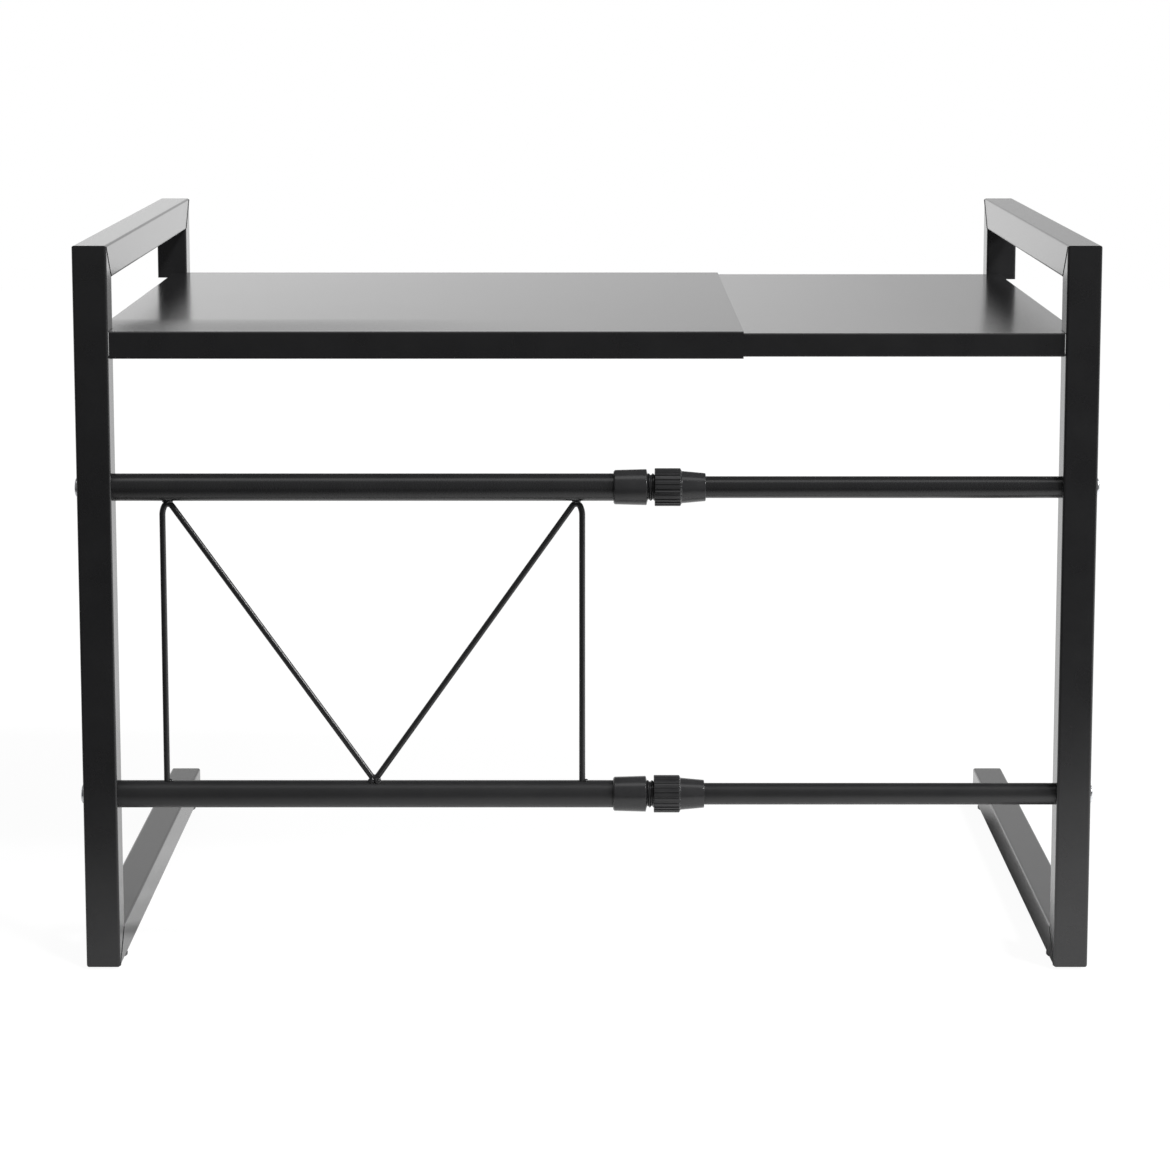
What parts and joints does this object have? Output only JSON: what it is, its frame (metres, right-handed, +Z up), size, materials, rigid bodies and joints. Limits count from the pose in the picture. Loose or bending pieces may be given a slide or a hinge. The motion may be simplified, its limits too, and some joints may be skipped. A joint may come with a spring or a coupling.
{
  "type": "expandable metal shelf",
  "caption": "Width-adjustable open shelf: nested sliding steel panels on C-shaped square-tube side frames, joined by telescopic twist-lock rods with a wire brace.",
  "frame": {"origin": "on the floor under the middle of the object's box, at the pictured width", "axes": "+X along the width, to the right as seen from the back posts; +Y from the back posts to the front; +Z up"},
  "size_m": [0.5946, 0.411, 0.428],
  "materials": {
    "black_powder_coat": "satin black powder coat on steel",
    "black_plastic": "matte moulded black plastic",
    "zinc_plate": "bright zinc plate"
  },
  "bodies": {
    "left_side": {"left_back_post": "black_powder_coat", "left_top_rail": "black_powder_coat", "left_front_post": "black_powder_coat", "left_foot_rail": "black_powder_coat", "left_shelf_bearer": "black_powder_coat", "left_shelf_panel": "black_powder_coat", "left_foot_cap": "black_plastic", "left_post_plug": "black_plastic", "left_back_glide": "black_plastic", "left_front_glide": "black_plastic", "left_back_panel_screw": "zinc_plate", "left_front_panel_screw": "zinc_plate", "left_upper_rod_screw": "zinc_plate", "left_lower_rod_screw": "zinc_plate", "left_upper_rod_plug": "black_plastic", "left_lower_rod_plug": "black_plastic", "upper_outer_tube": "black_powder_coat", "lower_outer_tube": "black_powder_coat", "upper_collet_sleeve": "black_plastic", "lower_collet_sleeve": "black_plastic", "wire_brace": "black_powder_coat"},
    "right_side": {"right_back_post": "black_powder_coat", "right_top_rail": "black_powder_coat", "right_front_post": "black_powder_coat", "right_foot_rail": "black_powder_coat", "right_shelf_bearer": "black_powder_coat", "right_shelf_panel": "black_powder_coat", "right_foot_cap": "black_plastic", "right_post_plug": "black_plastic", "right_back_glide": "black_plastic", "right_front_glide": "black_plastic", "right_back_panel_screw": "zinc_plate", "right_front_panel_screw": "zinc_plate", "right_upper_rod_screw": "zinc_plate", "right_lower_rod_screw": "zinc_plate", "right_upper_rod_plug": "black_plastic", "right_lower_rod_plug": "black_plastic", "upper_inner_tube": "black_powder_coat", "lower_inner_tube": "black_powder_coat", "upper_guide_plug": "black_plastic", "lower_guide_plug": "black_plastic"},
    "upper_lock_nut": {"upper_lock_nut": "black_plastic"},
    "lower_lock_nut": {"lower_lock_nut": "black_plastic"}
  },
  "joints": [
    {"name": "width_slide", "type": "slide", "parent": "left_side", "child": "right_side", "axis": [1, 0, 0], "range_m": [-0.182, 0.04]},
    {"name": "upper_nut_turn", "type": "hinge", "parent": "left_side", "child": "upper_lock_nut", "pos_m": [0.0393, -0.1945, 0.2868], "axis": [1, 0, 0], "range_deg": [0, 360]},
    {"name": "lower_nut_turn", "type": "hinge", "parent": "left_side", "child": "lower_lock_nut", "pos_m": [0.0393, -0.1945, 0.1043], "axis": [1, 0, 0], "range_deg": [0, 360]}
  ]
}
